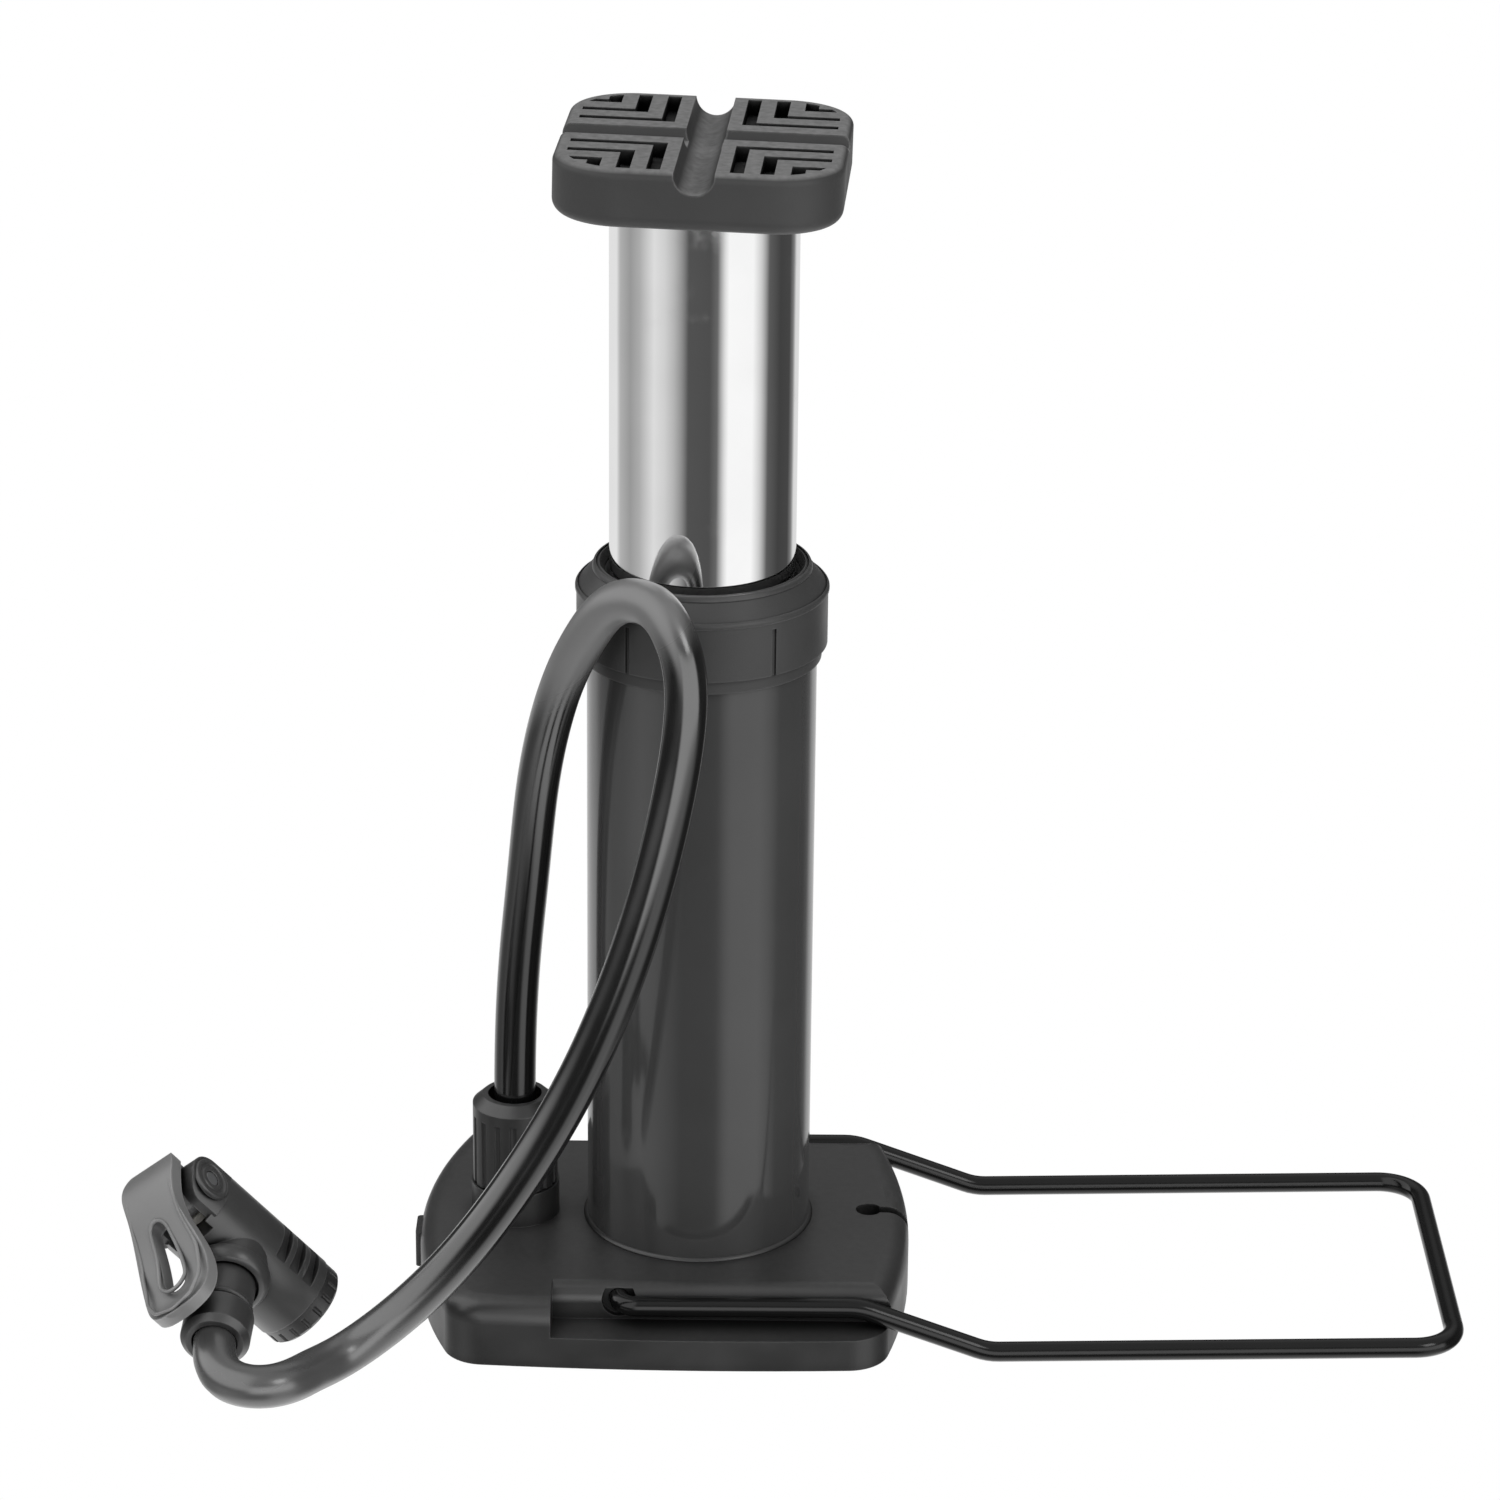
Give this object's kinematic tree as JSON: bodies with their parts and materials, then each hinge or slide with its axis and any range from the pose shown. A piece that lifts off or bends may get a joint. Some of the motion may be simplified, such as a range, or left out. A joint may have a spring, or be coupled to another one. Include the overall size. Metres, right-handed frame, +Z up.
{
  "type": "foot air pump",
  "caption": "Single-barrel foot air pump: tread pedal on a sprung bright plunger, black barrel, moulded base, folding wire stand, and a hose with a lever-operated tyre valve head",
  "frame": {"origin": "On the barrel's axis, at the floor that the pump stands on", "axes": "+Z up along the plunger's stroke, +X to the side where the wire stand folds out, +Y to the back; the outlet and hose are on the -X side"},
  "size_m": [0.2658, 0.1212, 0.2406],
  "materials": {
    "moulded_black": "satin moulded black with a fine spark-eroded grain",
    "tread_black": "dull black tread, slightly dusty in the grooves",
    "barrel_black": "gloss black stoved paint",
    "collar_black": "satin moulded black",
    "bright_tube": "polished bright tube",
    "seal_rubber": "plain black rubber",
    "zinc_steel": "zinc-plated steel",
    "spring_steel": "drawn spring steel",
    "turned_brass": "turned brass",
    "natural_plastic": "uncoloured low-friction plastic",
    "wire_black": "gloss black dip coating",
    "hose_black": "glossy black extruded rubber",
    "head_grey": "dark grey moulded plastic",
    "lever_grey": "mid-grey moulded plastic"
  },
  "bodies": {
    "root": {"base_body": "moulded_black", "base_cover": "moulded_black", "cover_screws": "zinc_steel", "rubber_feet": "seal_rubber", "centre_pad": "seal_rubber", "end_tab": "seal_rubber", "barrel_gasket": "seal_rubber", "barrel_tube": "barrel_black", "guide_bush": "natural_plastic", "wiper_seal": "seal_rubber", "collar_cap": "collar_black", "guide_rod": "zinc_steel", "rod_foot_seal": "seal_rubber", "rod_nut": "zinc_steel", "spring_seat": "natural_plastic", "return_spring": "spring_steel", "valve_seat": "turned_brass", "valve_spring": "spring_steel", "outlet_fitting": "turned_brass", "outlet_nut": "moulded_black", "hose": "hose_black", "head_body": "head_grey", "head_cap": "moulded_black", "valve_gasket": "seal_rubber", "stem_seal": "seal_rubber", "lever_pin": "zinc_steel", "hose_ferrule": "head_grey"},
    "slider": {"thrust_washer": "natural_plastic"},
    "plunger": {"tube_hub": "natural_plastic", "plunger_tube": "bright_tube", "piston": "natural_plastic", "piston_ring_outer": "seal_rubber", "piston_ring_inner": "seal_rubber", "stop_sleeve": "natural_plastic", "pedal": "tread_black", "pedal_insert": "turned_brass", "pedal_screw": "zinc_steel"},
    "stand": {"stand_wire": "wire_black"},
    "lever": {"head_lever": "lever_grey"},
    "pusher": {"gasket_pusher": "natural_plastic"},
    "ball": {"valve_ball": "zinc_steel"}
  },
  "joints": [
    {"name": "plunger_stroke", "type": "slide", "parent": "root", "child": "slider", "axis": [0, 0, 1], "range_m": [-0.06, 0], "stiffness_N_per_m": 900, "springref_m": 0.022, "deforming": ["return_spring"]},
    {"name": "plunger_spin", "type": "hinge", "parent": "slider", "child": "plunger", "pos_m": [0, 0, 0.2], "axis": [0, 0, 1], "continuous": true},
    {"name": "stand_fold", "type": "hinge", "parent": "root", "child": "stand", "pos_m": [-0.0152, 0, 0.0113], "axis": [0, -1, 0], "range_deg": [0, 70]},
    {"name": "lever_turn", "type": "hinge", "parent": "root", "child": "lever", "pos_m": [-0.10167, -0.03623, 0.03327], "axis": [-0.7577, 0.18, -0.6273], "range_deg": [0, 90]},
    {"name": "gasket_push", "type": "slide", "parent": "root", "child": "pusher", "axis": [0.6511, 0.144, -0.7452], "range_m": [0, 0.0015]},
    {"name": "ball_lift", "type": "slide", "parent": "root", "child": "ball", "axis": [0, 0, 1], "range_m": [0, 0.0012], "stiffness_N_per_m": 60, "springref_m": -0.002, "deforming": ["valve_spring"]}
  ],
  "couplings": [
    {"joint": "gasket_push", "follows": "lever_turn", "m_per_rad": 0.00095492}
  ]
}
